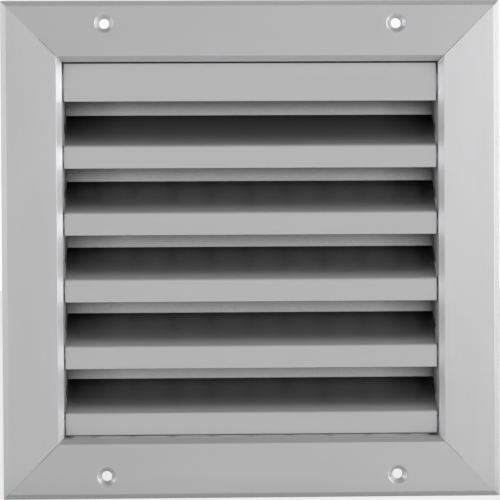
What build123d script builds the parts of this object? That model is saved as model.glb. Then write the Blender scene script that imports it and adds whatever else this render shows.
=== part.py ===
from build123d import *
import os
from math import atan, cos, degrees, radians, sin, sqrt, tan

# Weather grille: a mitred aluminium frame with fixed louvre blades and a bird screen.
# Millimetres, +Z up, front towards -Y. The origin is the middle of the plane that lies on the wall.

# Frame, overall
overall_width = 247.0
overall_height = 247.0
flange_width = 30.0

# Frame, section
plate_thickness = 1.5
outer_bevel_width = 2.8
inner_bevel_width = 2.45
inner_bevel_depth = 4.2
rim_foot = 2.0
collar_thickness = 1.6
frame_edge_radius = 0.4
mitre_gap = 0.1

# Channel behind the flange and the corner keys in it
key_width = 8.4
key_thickness = 1.2
key_leg = 26.0
key_chamfer = 1.2
key_clearance = 0.1
channel_wall = 1.1
channel_root = 1.2
channel_lip_reach = 1.3
channel_lip_thickness = 0.7
channel_lip_setback = 0.2

# Dimpled fixing holes in the two rails
fixing_spacing = 144.4
fixing_inset = 11.5
fixing_hole_diameter = 5.2
dimple_diameter = 9.4
dimple_shoulder_radius = 1.0

# Louvre blades
blade_pitch = 33.3
blade_thickness = 1.5
blade_setback = 7.15
lip_height = 11.3
slope_rise = 15.92
slope_angle = 45.0
upstand_overlap = 4.5
lip_bend_radius = 1.1
upstand_bend_radius = 0.6
edge_flat = 0.1
edge_break = 0.3
blade_end_clearance = 0.75
blade_bottom_gap = 0.8

# Head blade
head_top_gap = 0.4
head_min_height = 14.0
head_corner_radius = 0.5

# Screw ports in the blades, and the screws in them
port_bore = 2.9
port_wall = 1.2
port_mouth = 1.5
port_offset = 0.35
port_clearance = 0.1
screw_hole_diameter = 3.8
screw_grip = 8.0
screw_core_sides = 8
screw_head_sides = 6
screw_head_width = 5.5
screw_head_height = 2.3
screw_head_chamfer = 0.45

# Bird screen and the groove that holds it
wire_diameter = 1.8
wire_pitch = 20.0
wire_sides = 8
screen_clearance = 0.15
screen_end_clearance = 0.3
blade_to_rib_gap = 1.4
rib_thickness = 1.0
rib_height = 2.5

# Levels in depth, measured from the wall plane
channel_depth = key_thickness + 2 * key_clearance
rim_depth = plate_thickness + channel_depth + channel_lip_thickness + channel_lip_setback
face = -rim_depth
plate_back = face + plate_thickness
lip_front = plate_back + channel_depth
lip_back = -channel_lip_setback
blade_front = face + blade_setback
slope_run = slope_rise / tan(radians(slope_angle))
blade_back = blade_front + slope_run + blade_thickness
screen_thickness = 2 * wire_diameter
front_rib = blade_back + blade_to_rib_gap
groove_front = front_rib + rib_thickness
groove_back = groove_front + screen_thickness + 2 * screen_clearance
collar_end = groove_back + rib_thickness

# Places across the frame section, measured inwards from the outer edge
channel_inner = flange_width - collar_thickness - channel_root
channel_outer = channel_inner - key_width - 2 * key_clearance
section_reach = flange_width + rib_height
collar_outer = flange_width - collar_thickness

# Opening and the stack of blades in it
opening_width = overall_width - 2 * flange_width
opening_height = overall_height - 2 * flange_width
opening_top = opening_height / 2
blade_length = opening_width - 2 * blade_end_clearance
blade_edge_radius = (blade_thickness - edge_flat) / 2
stack_height = opening_height - head_top_gap - blade_bottom_gap
blade_count = int((stack_height - head_min_height) // blade_pitch)
head_height = stack_height - blade_count * blade_pitch
head_bottom = opening_top - head_top_gap - head_height

# Screw ports, as places in the blade section: depth, and height above the blade's lower edge
port_radius = port_bore / 2 + port_wall
port_centre_offset = port_bore / 2 + port_offset
bend_offset = blade_thickness * cos(radians(slope_angle)) / (1 + sin(radians(slope_angle)))
slope_drop = (blade_thickness + port_centre_offset) / cos(radians(slope_angle))


def below_slope(depth):
    """Height of a port centre that hangs under the slope at this depth."""
    return lip_height + (depth - blade_front) * tan(radians(slope_angle)) - slope_drop


front_port_depth = blade_front + blade_thickness + port_centre_offset
rear_port_depth = blade_back - port_radius
blade_ports = [
    (front_port_depth, below_slope(front_port_depth)),
    (rear_port_depth, below_slope(rear_port_depth)),
]
head_ports = [(front_port_depth, head_height - blade_thickness - port_centre_offset)]


def blade_bottom(number):
    """Height of the lower edge of a louvre blade, counted from the top."""
    return head_bottom - number * blade_pitch


def screw_places():
    """Depth and height of every screw port, over all blades."""
    places = [(depth, head_bottom + height) for depth, height in head_ports]
    for number in range(1, blade_count + 1):
        places += [(depth, blade_bottom(number) + height) for depth, height in blade_ports]
    return places


def strip(depth_from, depth_to, inset_from, inset_to):
    """A rectangle of the frame section."""
    middle = Location(((depth_from + depth_to) / 2, (inset_from + inset_to) / 2))
    return middle * Rectangle(depth_to - depth_from, inset_to - inset_from)


def near(face_sketch, *points):
    """The vertices of a sketch that lie at the given points."""
    return [face_sketch.vertices().sort_by_distance(Vector(*point))[0] for point in points]


def frame_section():
    """Section of the frame bar: local x is depth, local y is the distance in from the outer edge."""
    rim_inset = rim_foot - plate_back * outer_bevel_width / rim_depth
    face_outer = (face, outer_bevel_width)
    face_inner = (face, flange_width - inner_bevel_width)
    opening_edge = (face + inner_bevel_depth, flange_width)
    outline = Polyline(
        (0, 0),
        face_outer,
        face_inner,
        opening_edge,
        (collar_end, flange_width),
        (collar_end, collar_outer),
        (plate_back, collar_outer),
        (plate_back, rim_inset),
        (0, rim_foot),
        close=True,
    )
    section = make_face(outline)
    section = fillet(near(section, face_outer, face_inner, opening_edge), frame_edge_radius)
    section += strip(front_rib, groove_front, collar_outer, section_reach)
    section += strip(groove_back, collar_end, collar_outer, section_reach)
    section += strip(plate_back, lip_back, channel_inner, collar_outer)
    section += strip(plate_back, lip_back, channel_outer - channel_wall, channel_outer)
    section += strip(lip_front, lip_back, channel_inner - channel_lip_reach, channel_inner)
    section += strip(lip_front, lip_back, channel_outer, channel_outer + channel_lip_reach)
    return section


def frame_bar(length, half_span):
    """A mitred bar along X, with its outer edge half_span below the origin."""
    section = Plane.YZ * Location((0, -half_span)) * frame_section()
    bar = extrude(section, amount=length / 2, both=True)
    outer = length / 2 - mitre_gap / sqrt(2)
    inner = outer - section_reach
    trapezoid = Polyline(
        (-outer, -half_span),
        (outer, -half_span),
        (inner, -half_span + section_reach),
        (-inner, -half_span + section_reach),
        close=True,
    )
    mitre = extrude(Plane.XZ * make_face(trapezoid), amount=collar_end - face, both=True)
    return bar & mitre


def dimple(x, z):
    """The pressed metal round a fixing hole, down to the wall plane, and the funnel left in it."""
    top_radius = dimple_diameter / 2
    hole_radius = fixing_hole_diameter / 2
    funnel_depth = top_radius - hole_radius
    cone_wall = plate_thickness * sqrt(2)
    boss = Polyline(
        (0, 0),
        (top_radius, 0),
        (top_radius + cone_wall - plate_thickness, -plate_thickness),
        (top_radius + cone_wall - rim_depth, -rim_depth),
        (0, -rim_depth),
        close=True,
    )
    funnel = Polyline(
        (0, 0),
        (top_radius, 0),
        (hole_radius, -funnel_depth),
        (hole_radius, -rim_depth),
        (0, -rim_depth),
        close=True,
    )
    place = Plane(origin=(x, face, z), z_dir=(0, -1, 0))
    return [place * revolve(Plane.XZ * make_face(outline), Axis.Z) for outline in (boss, funnel)]


def fixing_rail():
    """The bottom rail, with its two dimpled fixing holes."""
    bar = frame_bar(overall_width, overall_height / 2)
    for side in (-1, 1):
        boss, funnel = dimple(side * fixing_spacing / 2, fixing_inset - overall_height / 2)
        bar = bar + boss - funnel
    shoulders = bar.edges().filter_by(GeomType.CIRCLE).group_by(Axis.Y)[0]
    return fillet(shoulders, dimple_shoulder_radius)


def screw_seats(side):
    """Planes on the outside of a stile, one for each blade screw, that face into the frame."""
    seat = side * (overall_width / 2 - collar_outer)
    return [Plane(origin=(seat, depth, height), z_dir=(-side, 0, 0)) for depth, height in screw_places()]


def stile(side):
    """A vertical stile with the screw holes for the blades; side is -1 for left and 1 for right."""
    bar = Rot(0, -90 * side, 0) * frame_bar(overall_height, overall_width / 2)
    hole = extrude(Circle(screw_hole_diameter / 2), amount=collar_thickness)
    for seat in screw_seats(side):
        bar -= seat * hole
    return bar


def corner_key(side, level):
    """A flat L-shaped key; side and level are -1 or 1 and choose the corner."""
    outline = Polyline(
        (0, 0),
        (key_leg, 0),
        (key_leg, key_width),
        (key_width, key_width),
        (key_width, key_leg),
        (0, key_leg),
        close=True,
    )
    plate = make_face(outline)
    leg_ends = near(plate, (key_leg, 0), (key_leg, key_width), (key_width, key_leg), (0, key_leg))
    plate = chamfer(leg_ends, key_chamfer)
    key = extrude(Plane.XZ * plate, amount=-key_thickness)
    turns = {(-1, -1): 0, (-1, 1): 90, (1, 1): 180, (1, -1): 270}
    outer = channel_outer + key_clearance
    corner = Pos(
        side * (overall_width / 2 - outer),
        plate_back + key_clearance,
        level * (overall_height / 2 - outer),
    )
    return corner * Rot(0, turns[side, level], 0) * key


def with_ports(section, ports, mouth_directions):
    """A blade section with a round screw port, open on one side, at each place."""
    for (depth, height), direction in zip(ports, mouth_directions):
        centre = Location((depth, height))
        mouth_length = 2 * port_radius
        mouth = Location((mouth_length / 2, 0)) * Rectangle(mouth_length, port_mouth)
        section += centre * Circle(port_radius)
        section -= centre * Circle(port_bore / 2)
        section -= centre * Rot(0, 0, direction) * mouth
    return section


def blade_bar(section, bottom):
    """A blade of the given section, with its lower edge at the given height."""
    return extrude(Plane.YZ * Location((0, bottom)) * section, amount=blade_length / 2, both=True)


def louvre_blade(number):
    """A weather blade: rounded lip, slope and rear upstand, with two screw ports below the slope."""
    slope_top = lip_height + slope_rise
    slope_back = blade_front + slope_run
    upstand_top = blade_pitch + upstand_overlap
    lip_bend = (blade_front, lip_height)
    lip_bend_inside = (blade_front + blade_thickness, lip_height - bend_offset)
    upstand_bend = (slope_back, slope_top)
    upstand_bend_outside = (blade_back, slope_top - bend_offset)
    nose = [(blade_front, 0), (blade_front + blade_thickness, 0)]
    top_edge = [(slope_back, upstand_top), (blade_back, upstand_top)]
    outline = Polyline(
        nose[0],
        lip_bend,
        upstand_bend,
        top_edge[0],
        top_edge[1],
        upstand_bend_outside,
        lip_bend_inside,
        nose[1],
        close=True,
    )
    section = make_face(outline)
    section = fillet(near(section, lip_bend), lip_bend_radius + blade_thickness)
    section = fillet(near(section, lip_bend_inside), lip_bend_radius)
    section = fillet(near(section, upstand_bend), upstand_bend_radius)
    section = fillet(near(section, upstand_bend_outside), upstand_bend_radius + blade_thickness)
    section = fillet(near(section, *nose), blade_edge_radius)
    section = chamfer(near(section, *top_edge), edge_break)
    away_from_bend = -degrees(atan(cos(radians(slope_angle)) / (1 + sin(radians(slope_angle)))))
    section = with_ports(section, blade_ports, [away_from_bend, slope_angle - 90])
    return blade_bar(section, blade_bottom(number))


def head_blade():
    """The closing blade at the top: a plain face with a return along the top rail."""
    nose = [(blade_front, 0), (blade_front + blade_thickness, 0)]
    outside = (blade_front, head_height)
    inside = (blade_front + blade_thickness, head_height - blade_thickness)
    outline = Polyline(
        nose[0],
        outside,
        (blade_back, head_height),
        (blade_back, head_height - blade_thickness),
        inside,
        nose[1],
        close=True,
    )
    section = make_face(outline)
    section = fillet(near(section, outside, inside), head_corner_radius)
    section = fillet(near(section, *nose), blade_edge_radius)
    section = with_ports(section, head_ports, [-45])
    return blade_bar(section, head_bottom)


def blade_screw():
    """A flat-ended hexagon-head tapping screw, without its thread: seat at the origin, shank along +Z."""
    shank_length = collar_thickness + blade_end_clearance + screw_grip
    hexagon = RegularPolygon(screw_head_width / 2, screw_head_sides, major_radius=False)
    head = extrude(hexagon, amount=-screw_head_height)
    head = chamfer(head.edges().group_by(Axis.Z)[0], screw_head_chamfer)
    core = RegularPolygon(port_bore / 2 - port_clearance, screw_core_sides)
    return head + extrude(core, amount=shank_length)


def blade_screws():
    """Every blade screw, seated on the outside of the two stiles."""
    screw = blade_screw()
    return Compound(children=[seat * screw for side in (-1, 1) for seat in screw_seats(side)])


def bird_screen():
    """Welded wire mesh: straight wires, the upright ones in front, that meet face to face at each weld."""
    width = opening_width - 2 * screen_end_clearance
    height = opening_height - 2 * screen_end_clearance
    front_layer = groove_front + screen_clearance + wire_diameter / 2
    back_layer = front_layer + wire_diameter
    half_turn = 180 / wire_sides
    wire = Rot(0, 0, half_turn) * RegularPolygon(wire_diameter / 2, wire_sides, major_radius=False)
    upright = extrude(Plane.XY * wire, amount=height / 2, both=True)
    level = extrude(Plane.YZ * wire, amount=width / 2, both=True)
    wires = [Pos(x, front_layer, 0) * upright for x in wire_places(width)]
    wires += [Pos(0, back_layer, z) * level for z in wire_places(height)]
    return Compound(children=wires)


def wire_places(span):
    """Places of the wires across a span, evenly about its middle."""
    count = int(span // wire_pitch)
    return [(index - (count - 1) / 2) * wire_pitch for index in range(count)]


os.makedirs("parts", exist_ok=True)
rail = fixing_rail()
nodes = {
    "bottom_rail": rail,
    "top_rail": Rot(0, 180, 0) * rail,
    "left_stile": stile(-1),
    "right_stile": stile(1),
    "corner_key_top_left": corner_key(-1, 1),
    "corner_key_top_right": corner_key(1, 1),
    "corner_key_bottom_left": corner_key(-1, -1),
    "corner_key_bottom_right": corner_key(1, -1),
    "head_blade": head_blade(),
    "blade_screws": blade_screws(),
    "bird_screen": bird_screen(),
}
for number in range(1, blade_count + 1):
    nodes[f"louvre_blade_{number}"] = louvre_blade(number)
for name, solid in nodes.items():
    export_step(solid, f"parts/{name}.step")
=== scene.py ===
from math import radians

import bpy
from mathutils import Matrix, Vector


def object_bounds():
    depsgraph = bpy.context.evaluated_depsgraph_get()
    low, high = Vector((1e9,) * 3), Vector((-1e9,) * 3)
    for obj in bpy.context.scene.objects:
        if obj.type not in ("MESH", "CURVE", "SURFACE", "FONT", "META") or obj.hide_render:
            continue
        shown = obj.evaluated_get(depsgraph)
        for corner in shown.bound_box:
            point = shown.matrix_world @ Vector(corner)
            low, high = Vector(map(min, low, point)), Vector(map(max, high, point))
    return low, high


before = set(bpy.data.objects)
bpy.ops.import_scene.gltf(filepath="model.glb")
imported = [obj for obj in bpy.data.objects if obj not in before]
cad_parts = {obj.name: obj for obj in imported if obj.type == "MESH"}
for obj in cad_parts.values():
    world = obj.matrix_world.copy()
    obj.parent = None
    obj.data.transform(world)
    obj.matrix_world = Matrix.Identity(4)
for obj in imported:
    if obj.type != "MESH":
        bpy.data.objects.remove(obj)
cad_low, cad_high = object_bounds()

# Camera, from a fit of the part's edges to the photograph. The image is 500 pixels square.
IMAGE_SIDE = 500
SENSOR_WIDTH = 36.0
FOCAL_PIXELS = 1774.0
CAMERA_DISTANCE = 0.8777
CAMERA_AIM = Vector((-0.00075, -0.0038, -0.00015))
CAMERA_TURN = 0.02526
CAMERA_TILT = 0.01751
CAMERA_ROLL = -0.00522

# Stage: pale paper under an even grey. A share of 1 shows it as pure white to the camera (seen) or in
# metal and glass (reflected), and the rest keeps the part's shadow.
FLOOR_HALF_WIDTH = 20.0
FLOOR_FRONT = -20.0
BACKDROP_DEPTH = 2.6
BACKDROP_HEIGHT = 2.6
PAPER_COLOUR = (0.86, 0.86, 0.86, 1.0)
FLOOR_SEEN = 0.75
FLOOR_REFLECTED = 0.45
BACKDROP_SEEN = 0.95
BACKDROP_REFLECTED = 0.95
WORLD_GREY = (0.11, 0.11, 0.11, 1.0)
WORLD_SEEN = 0.95
WORLD_REFLECTED = 0.10
WHITE = (1.0, 1.0, 1.0, 1.0)

# Lamps: place, size of the panel and power
LAMP_AIM = Vector((0.0, 0.0, 0.0))
LAMPS = {
    "right_front": ((0.90, -0.80, 0.10), (0.8, 1.2), 7.3),
    "right_mid": ((1.18, -0.42, 0.10), (0.5, 1.0), 3.4),
    "right_side": ((1.25, 0.05, 0.10), (0.9, 1.0), 2.0),
    "left_mid": ((-1.18, -0.42, 0.10), (0.5, 1.0), 4.7),
    "left_side": ((-1.25, 0.05, 0.10), (0.9, 1.0), 0.8),
    "front_level": ((0.0, -1.70, 0.05), (1.4, 0.5), 0.75),
    "front_raised": ((0.0, -1.60, 0.43), (1.4, 0.35), 1.0),
    "front_high": ((0.0, -1.30, 0.95), (1.6, 0.6), 1.2),
    "top": ((0.0, 0.05, 1.30), (1.6, 0.7), 1.8),
    "rear": ((0.30, 1.30, 0.95), (1.4, 0.6), 2.5),
}

# Finish of the metals
ALUMINIUM = (0.70, 0.70, 0.71)
FRAME_FINISH = {"colour": ALUMINIUM, "roughness": 0.45, "anisotropy": 0.55, "metallic": 0.64}
BLADE_FINISH = {"colour": ALUMINIUM, "roughness": 0.30, "anisotropy": 0.70, "metallic": 1.0}
KEY_FINISH = {"colour": (0.50, 0.50, 0.49), "roughness": 0.38, "anisotropy": 0.20, "metallic": 1.0}
SCREW_FINISH = {"colour": (0.58, 0.58, 0.57), "roughness": 0.30, "anisotropy": 0.0, "metallic": 1.0}
WIRE_FINISH = {"colour": (0.50, 0.51, 0.52), "roughness": 0.46, "anisotropy": 0.0, "metallic": 1.0}
LEVEL = Vector((1.0, 0.0, 0.0))
UPRIGHT = Vector((0.0, 0.0, 1.0))

# Drawn lines, clouds of colour and worn edges: scales per metre, ranges as factors, lengths in metres
GRAIN_ALONG = 14.0
GRAIN_ACROSS = 2600.0
GRAIN_DETAIL = 3.0
GRAIN_BREAK = 0.6
GRAIN_TINT = (0.97, 1.03)
GRAIN_DEPTH = 0.00002
GRAIN_STRENGTH = 0.25
GRAIN_TURN = 0.25
GRAIN_WANDER = 0.08
CLOUD_ALONG = 9.0
CLOUD_ACROSS = 38.0
CLOUD_DETAIL = 4.0
CLOUD_BREAK = 0.55
CLOUD_TINT = (0.95, 1.05)
CLOUD_ROUGHNESS = 0.05
NODE_SAMPLES = 6
EDGE_RADIUS = 0.00015
EDGE_TURN = (0.99, 0.80)
EDGE_TINT = (1.0, 1.12)
EDGE_POLISH = (1.0, 0.85)

# Painted shade in corners and deep in the louvre, dirt in the mitre joints, and more painted shade on the
# faces that look up inside the louvre
PAINTED_SHADE_REACH = 0.030
PAINTED_SHADE_OPEN = (0.22, 0.66)
RAIL_PAINTED_SHADE = 0.75
STILE_PAINTED_SHADE = 0.60
BLADE_PAINTED_SHADE = 0.02
SEAM_REACH = 0.0003
SEAM_DARK = 0.35
SLOPE_SHADE_DEPTH = (0.0, 0.015)
SLOPE_SHADE_TILT = (0.3, 0.6)
SLOPE_SHADE_DARK = 0.37


def add(tree, kind, **values):
    """A new shader node, with the named inputs or properties set."""
    made = tree.nodes.new(kind)
    for name, value in values.items():
        label = name.replace("_", " ")
        if label in made.inputs:
            made.inputs[label].default_value = value
        else:
            setattr(made, name, value)
    return made


def join(tree, source, target):
    """A link from an output to an input."""
    tree.links.new(source, target)


def new_material(name):
    """A material with only its principled shader, its tree and that shader."""
    material = bpy.data.materials.new(name)
    material.use_nodes = True
    return material, material.node_tree, material.node_tree.nodes["Principled BSDF"]


def combine(tree, operation, first, second):
    """Two values put together by a math node."""
    made = add(tree, "ShaderNodeMath", operation=operation)
    join(tree, first, made.inputs[0])
    join(tree, second, made.inputs[1])
    return made.outputs["Value"]


def absolute(tree, value):
    """A value without its sign."""
    made = add(tree, "ShaderNodeMath", operation="ABSOLUTE")
    join(tree, value, made.inputs[0])
    return made.outputs["Value"]


def spread(tree, value, low, high):
    """A value from 0 to 1, moved to the range from low to high."""
    ranged = add(tree, "ShaderNodeMapRange", To_Min=low, To_Max=high)
    join(tree, value, ranged.inputs["Value"])
    return ranged.outputs["Result"]


def smooth(tree, value, low, high):
    """A soft step of a value, from 0 at low to 1 at high."""
    step = add(tree, "ShaderNodeMapRange", interpolation_type="SMOOTHSTEP", From_Min=low, From_Max=high)
    join(tree, value, step.inputs["Value"])
    return step.outputs["Result"]


def parts(tree, vector):
    """The X, Y and Z of a vector."""
    split = add(tree, "ShaderNodeSeparateXYZ")
    join(tree, vector, split.inputs["Vector"])
    return split.outputs["X"], split.outputs["Y"], split.outputs["Z"]


def own_place(tree):
    """The place of a point in the object's own coordinates."""
    return add(tree, "ShaderNodeTexCoord").outputs["Object"]


def noise(tree, scale, detail, roughness):
    """Noise in the object's own coordinates, stretched by a factor on each axis."""
    mapping = add(tree, "ShaderNodeMapping", Scale=scale)
    join(tree, own_place(tree), mapping.inputs["Vector"])
    made = add(tree, "ShaderNodeTexNoise", Scale=1.0, Detail=detail, Roughness=roughness)
    join(tree, mapping.outputs["Vector"], made.inputs["Vector"])
    return made


def worn_edges(tree):
    """A rounded normal, and a mask that is 1 where it turns away from the true one, on the edges."""
    rounded = add(tree, "ShaderNodeBevel", Radius=EDGE_RADIUS, samples=NODE_SAMPLES)
    true = add(tree, "ShaderNodeNewGeometry")
    dot = add(tree, "ShaderNodeVectorMath", operation="DOT_PRODUCT")
    join(tree, rounded.outputs["Normal"], dot.inputs[0])
    join(tree, true.outputs["Normal"], dot.inputs[1])
    flat, turned = EDGE_TURN
    mask = add(tree, "ShaderNodeMapRange", From_Min=flat, From_Max=turned)
    join(tree, dot.outputs["Value"], mask.inputs["Value"])
    return rounded.outputs["Normal"], mask.outputs["Result"]


def painted_recess_shade(tree, painted_dark):
    """Painted shade from ambient occlusion: 1 in the open, and down to the given value in corners and deep
    in the louvre.
    """
    hidden = add(tree, "ShaderNodeAmbientOcclusion", Distance=PAINTED_SHADE_REACH, samples=NODE_SAMPLES)
    closed, clear = PAINTED_SHADE_OPEN
    recess = add(tree, "ShaderNodeMapRange", From_Min=closed, From_Max=clear, To_Min=painted_dark)
    join(tree, hidden.outputs["AO"], recess.inputs["Value"])
    return recess.outputs["Result"]


def mitre_dirt(tree):
    """Less than 1 in the hairlines of the mitre joints, which lie where width and height are equal."""
    x, _, z = parts(tree, own_place(tree))
    distance = absolute(tree, combine(tree, "SUBTRACT", absolute(tree, x), absolute(tree, z)))
    line = add(tree, "ShaderNodeMapRange", From_Max=SEAM_REACH, To_Min=SEAM_DARK)
    join(tree, distance, line.inputs["Value"])
    return line.outputs["Result"]


def painted_slope_shade(tree):
    """Painted shade: less than 1 on faces that look up, more so deep in the louvre."""
    _, depth, _ = parts(tree, own_place(tree))
    _, _, upward = parts(tree, add(tree, "ShaderNodeNewGeometry").outputs["Normal"])
    slope_shaded = combine(tree, "MULTIPLY", smooth(tree, upward, *SLOPE_SHADE_TILT), smooth(tree, depth, *SLOPE_SHADE_DEPTH))
    return spread(tree, slope_shaded, 1.0, SLOPE_SHADE_DARK)


def tinted(tree, colour, shade):
    """A colour times a value."""
    made = add(tree, "ShaderNodeVectorMath", operation="SCALE")
    made.inputs[0].default_value = colour
    join(tree, shade, made.inputs["Scale"])
    return made.outputs["Vector"]


def wandering(tree, along, clouds):
    """The direction of the drawn lines, which wanders a little from place to place."""
    made = add(tree, "ShaderNodeVectorMath", operation="MULTIPLY_ADD")
    join(tree, clouds, made.inputs[0])
    made.inputs[1].default_value = (GRAIN_WANDER, GRAIN_WANDER, GRAIN_WANDER)
    made.inputs[2].default_value = along
    return made.outputs["Vector"]


def metal(name, finish, along, painted_dark, dirt_and_painted_shade=None):
    """Satin metal with drawn lines along one axis, soft clouds of colour, worn edges and painted shade in
    recesses.
    """
    material, tree, shader = new_material(name)
    across = Vector((1.0, 1.0, 1.0)) - along
    lines = noise(tree, along * GRAIN_ALONG + across * GRAIN_ACROSS, GRAIN_DETAIL, GRAIN_BREAK)
    clouds = noise(tree, along * CLOUD_ALONG + across * CLOUD_ACROSS, CLOUD_DETAIL, CLOUD_BREAK)
    rounded, edges = worn_edges(tree)

    # the colour starts from painted shade in corners and recesses, then takes the tints of clouds, drawn
    # lines and worn edges
    shade = painted_recess_shade(tree, painted_dark)
    tints = ((clouds.outputs["Fac"], CLOUD_TINT), (lines.outputs["Fac"], GRAIN_TINT), (edges, EDGE_TINT))
    for value, tint in tints:
        shade = combine(tree, "MULTIPLY", shade, spread(tree, value, *tint))
    # mitre dirt on rails and stiles, or painted shade on the blades' upward faces deep in the louvre
    if dirt_and_painted_shade is not None:
        shade = combine(tree, "MULTIPLY", shade, dirt_and_painted_shade(tree))
    join(tree, tinted(tree, finish["colour"], shade), shader.inputs["Base Color"])

    smoothest, roughest = finish["roughness"] - CLOUD_ROUGHNESS, finish["roughness"] + CLOUD_ROUGHNESS
    gloss = combine(tree, "MULTIPLY", spread(tree, clouds.outputs["Fac"], smoothest, roughest),
                    spread(tree, edges, *EDGE_POLISH))
    join(tree, gloss, shader.inputs["Roughness"])
    shader.inputs["Metallic"].default_value = finish["metallic"]
    shader.inputs["Anisotropic"].default_value = finish["anisotropy"]
    shader.inputs["Anisotropic Rotation"].default_value = GRAIN_TURN
    join(tree, wandering(tree, along, clouds.outputs["Color"]), shader.inputs["Tangent"])

    bump = add(tree, "ShaderNodeBump", Strength=GRAIN_STRENGTH, Distance=GRAIN_DEPTH)
    join(tree, lines.outputs["Fac"], bump.inputs["Height"])
    join(tree, rounded, bump.inputs["Normal"])
    join(tree, bump.outputs["Normal"], shader.inputs["Normal"])
    return material


def dress(material, *names):
    """Gives a material to CAD nodes through their own slots."""
    for name in names:
        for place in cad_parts[name].material_slots:
            place.material = material


def dress_frame():
    """Materials for every CAD node."""
    names = list(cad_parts)
    # every metal gets painted shade in its corners and recesses
    dress(metal("anodised_rail", FRAME_FINISH, LEVEL, RAIL_PAINTED_SHADE, mitre_dirt),
          *[name for name in names if name.endswith("_rail")])
    dress(metal("anodised_stile", FRAME_FINISH, UPRIGHT, STILE_PAINTED_SHADE, mitre_dirt),
          *[name for name in names if name.endswith("_stile")])
    # the blades also get painted shade on their faces that look up deep in the louvre
    dress(metal("anodised_blade", BLADE_FINISH, LEVEL, BLADE_PAINTED_SHADE, painted_slope_shade),
          "head_blade", *[name for name in names if name.startswith("louvre_blade")])
    dress(metal("stamped_steel", KEY_FINISH, LEVEL, RAIL_PAINTED_SHADE),
          *[name for name in names if name.startswith("corner_key")])
    dress(metal("screw_steel", SCREW_FINISH, LEVEL, RAIL_PAINTED_SHADE), "blade_screws")
    dress(metal("galvanised_wire", WIRE_FINISH, UPRIGHT, RAIL_PAINTED_SHADE), "bird_screen")


def shown_white(tree, seen, reflected):
    """The share of white that a ray meets: from the camera, or from metal or glass."""
    rays = add(tree, "ShaderNodeLightPath")
    mirrored = combine(tree, "MAXIMUM", rays.outputs["Is Glossy Ray"], rays.outputs["Is Transmission Ray"])
    return combine(tree, "MAXIMUM", spread(tree, rays.outputs["Is Camera Ray"], 0.0, seen),
                   spread(tree, mirrored, 0.0, reflected))


def paper(name, seen, reflected):
    """Plain pale matt paper, shown as white by a share."""
    material, tree, shader = new_material(name)
    tree.nodes.remove(shader)
    white = add(tree, "ShaderNodeEmission", Color=WHITE, Strength=1.0)
    matt = add(tree, "ShaderNodeBsdfDiffuse", Color=PAPER_COLOUR)
    mix = add(tree, "ShaderNodeMixShader")
    join(tree, shown_white(tree, seen, reflected), mix.inputs["Fac"])
    join(tree, matt.outputs["BSDF"], mix.inputs[1])
    join(tree, white.outputs["Emission"], mix.inputs[2])
    join(tree, mix.outputs["Shader"], tree.nodes["Material Output"].inputs["Surface"])
    return material


def plane(name, corners, material):
    """A four-sided face that belongs to the stage."""
    mesh = bpy.data.meshes.new(name)
    mesh.from_pydata(corners, [], [(0, 1, 2, 3)])
    mesh.materials.append(material)
    made = bpy.data.objects.new(name, mesh)
    bpy.context.scene.collection.objects.link(made)


def build_stage():
    """The floor that the part stands on and the sheet far behind it."""
    left, right, low = -FLOOR_HALF_WIDTH, FLOOR_HALF_WIDTH, cad_low.z
    high = low + BACKDROP_HEIGHT
    plane("floor", [(left, FLOOR_FRONT, low), (right, FLOOR_FRONT, low),
                    (right, BACKDROP_DEPTH, low), (left, BACKDROP_DEPTH, low)],
          paper("floor_paper", FLOOR_SEEN, FLOOR_REFLECTED))
    plane("backdrop", [(left, BACKDROP_DEPTH, low), (right, BACKDROP_DEPTH, low),
                       (right, BACKDROP_DEPTH, high), (left, BACKDROP_DEPTH, high)],
          paper("backdrop_paper", BACKDROP_SEEN, BACKDROP_REFLECTED))


def build_lamps():
    """Soft panels round the part."""
    for name, (place, size, power) in LAMPS.items():
        light = bpy.data.lights.new(name, "AREA")
        light.shape = "RECTANGLE"
        light.size, light.size_y = size
        light.energy = power
        lamp = bpy.data.objects.new(name, light)
        lamp.location = place
        lamp.rotation_euler = (LAMP_AIM - Vector(place)).to_track_quat("-Z", "Y").to_euler()
        bpy.context.scene.collection.objects.link(lamp)


def build_world():
    """An even grey from everywhere else, shown as white by a share."""
    world = bpy.data.worlds.new("studio")
    world.use_nodes = True
    tree = world.node_tree
    grey = tree.nodes["Background"]
    grey.inputs["Color"].default_value = WORLD_GREY
    white = add(tree, "ShaderNodeBackground", Color=WHITE, Strength=1.0)
    mix = add(tree, "ShaderNodeMixShader")
    join(tree, shown_white(tree, WORLD_SEEN, WORLD_REFLECTED), mix.inputs["Fac"])
    join(tree, grey.outputs["Background"], mix.inputs[1])
    join(tree, white.outputs["Background"], mix.inputs[2])
    join(tree, mix.outputs["Shader"], tree.nodes["World Output"].inputs["Surface"])
    bpy.context.scene.world = world


def build_camera():
    """The photograph's camera."""
    turn = Matrix.Rotation(CAMERA_TURN, 3, "Z")
    tilt = Matrix.Rotation(CAMERA_TILT, 3, "X")
    roll = Matrix.Rotation(CAMERA_ROLL, 3, "Y")
    pose = (roll @ tilt @ turn).transposed()
    data = bpy.data.cameras.new("camera")
    data.sensor_width = SENSOR_WIDTH
    data.lens = FOCAL_PIXELS * SENSOR_WIDTH / IMAGE_SIDE
    camera = bpy.data.objects.new("camera", data)
    upright = Matrix.Rotation(radians(90.0), 3, "X")
    place = Matrix.Translation(CAMERA_AIM - pose @ Vector((0.0, CAMERA_DISTANCE, 0.0)))
    camera.matrix_world = place @ (pose @ upright).to_4x4()
    bpy.context.scene.collection.objects.link(camera)
    bpy.context.scene.camera = camera


dress_frame()
build_stage()
build_lamps()
build_world()
build_camera()
bpy.context.scene.view_settings.view_transform = "Standard"
